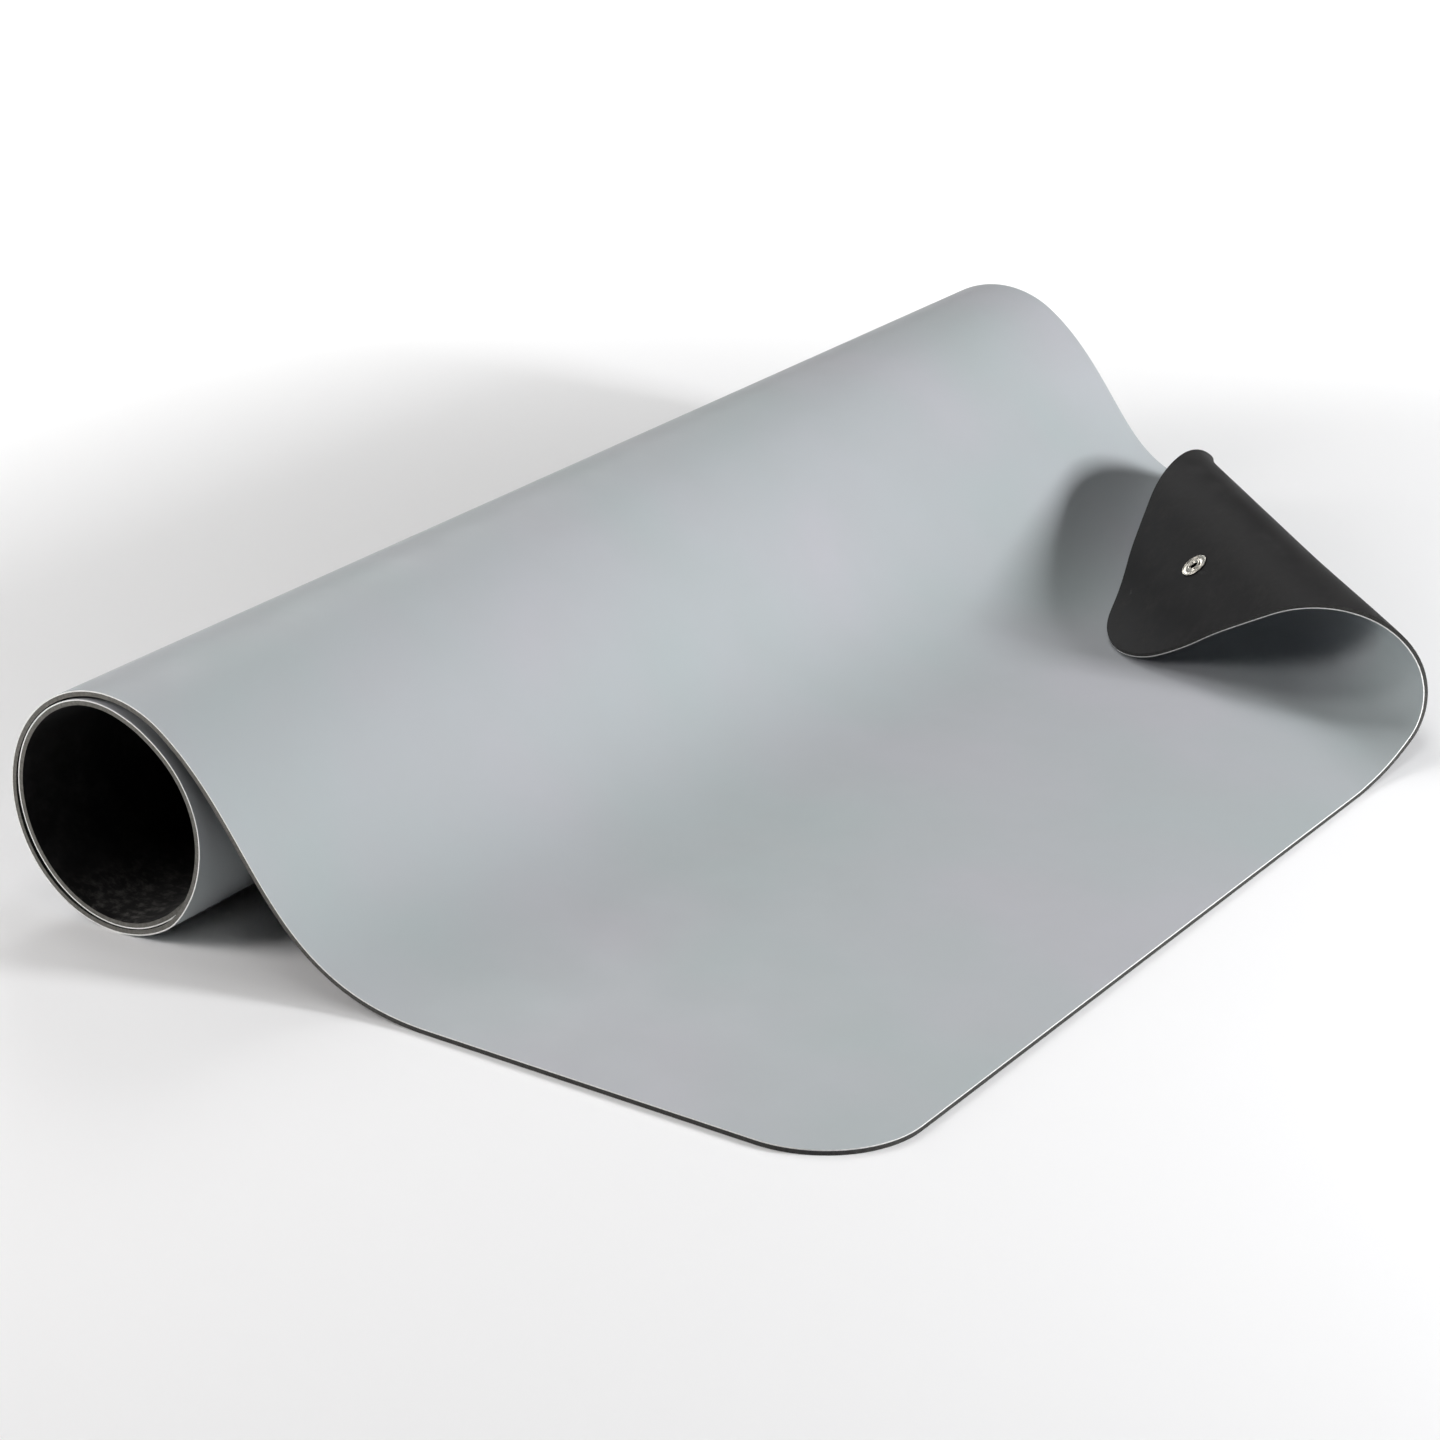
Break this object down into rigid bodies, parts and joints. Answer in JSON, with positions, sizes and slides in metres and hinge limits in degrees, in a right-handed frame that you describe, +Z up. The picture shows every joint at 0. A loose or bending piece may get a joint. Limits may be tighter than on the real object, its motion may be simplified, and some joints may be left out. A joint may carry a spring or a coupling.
{
  "type": "anti static bench mat",
  "caption": "Two layer anti static rubber bench mat, grey above and black below, partly rolled up, with one corner folded over to show a press stud.",
  "frame": {"origin": "the middle of the bounding box, on the surface that the mat lies on", "axes": "+Y along the roll's axis, which is the mat's width, with the folded corner at its +Y end; +X from the roll towards the free edge; +Z up"},
  "size_m": [0.336, 0.6002, 0.086],
  "materials": {
    "grey_rubber": "smooth matte",
    "black_rubber": "satin",
    "nickel": "pale nickel plate, satin"
  },
  "bodies": {
    "root": {"dissipative_top_layer": "grey_rubber", "conductive_base_layer": "black_rubber", "press_stud": "nickel", "stud_eyelet": "nickel"}
  },
  "joints": []
}
